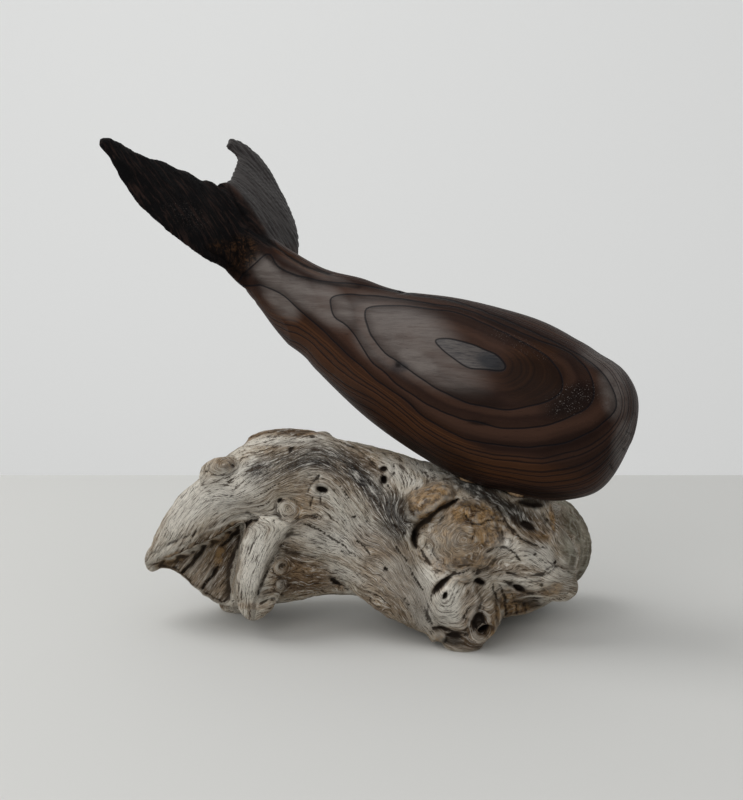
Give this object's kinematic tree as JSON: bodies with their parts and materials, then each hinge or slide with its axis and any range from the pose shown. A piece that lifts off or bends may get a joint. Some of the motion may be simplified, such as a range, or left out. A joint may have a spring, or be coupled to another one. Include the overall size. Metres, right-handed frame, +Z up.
{
  "type": "whale figurine",
  "caption": "Carved dark wood sperm whale lying on a weathered driftwood root, a free-standing shelf ornament.",
  "frame": {"origin": "on the surface that the root stands on, under the middle of the whole piece", "axes": "+X from the flukes to the head, +Y away from the front of the piece, +Z up"},
  "size_m": [0.2641, 0.1834, 0.2452],
  "materials": {
    "dark_wood": "oiled satin, dark growth rings",
    "driftwood": "weathered, dry and silvery grey",
    "dowel_wood": "plain fluted hardwood"
  },
  "bodies": {
    "root": {"whale": "dark_wood", "driftwood_base": "driftwood", "front_dowel": "dowel_wood", "rear_dowel": "dowel_wood"}
  },
  "joints": []
}
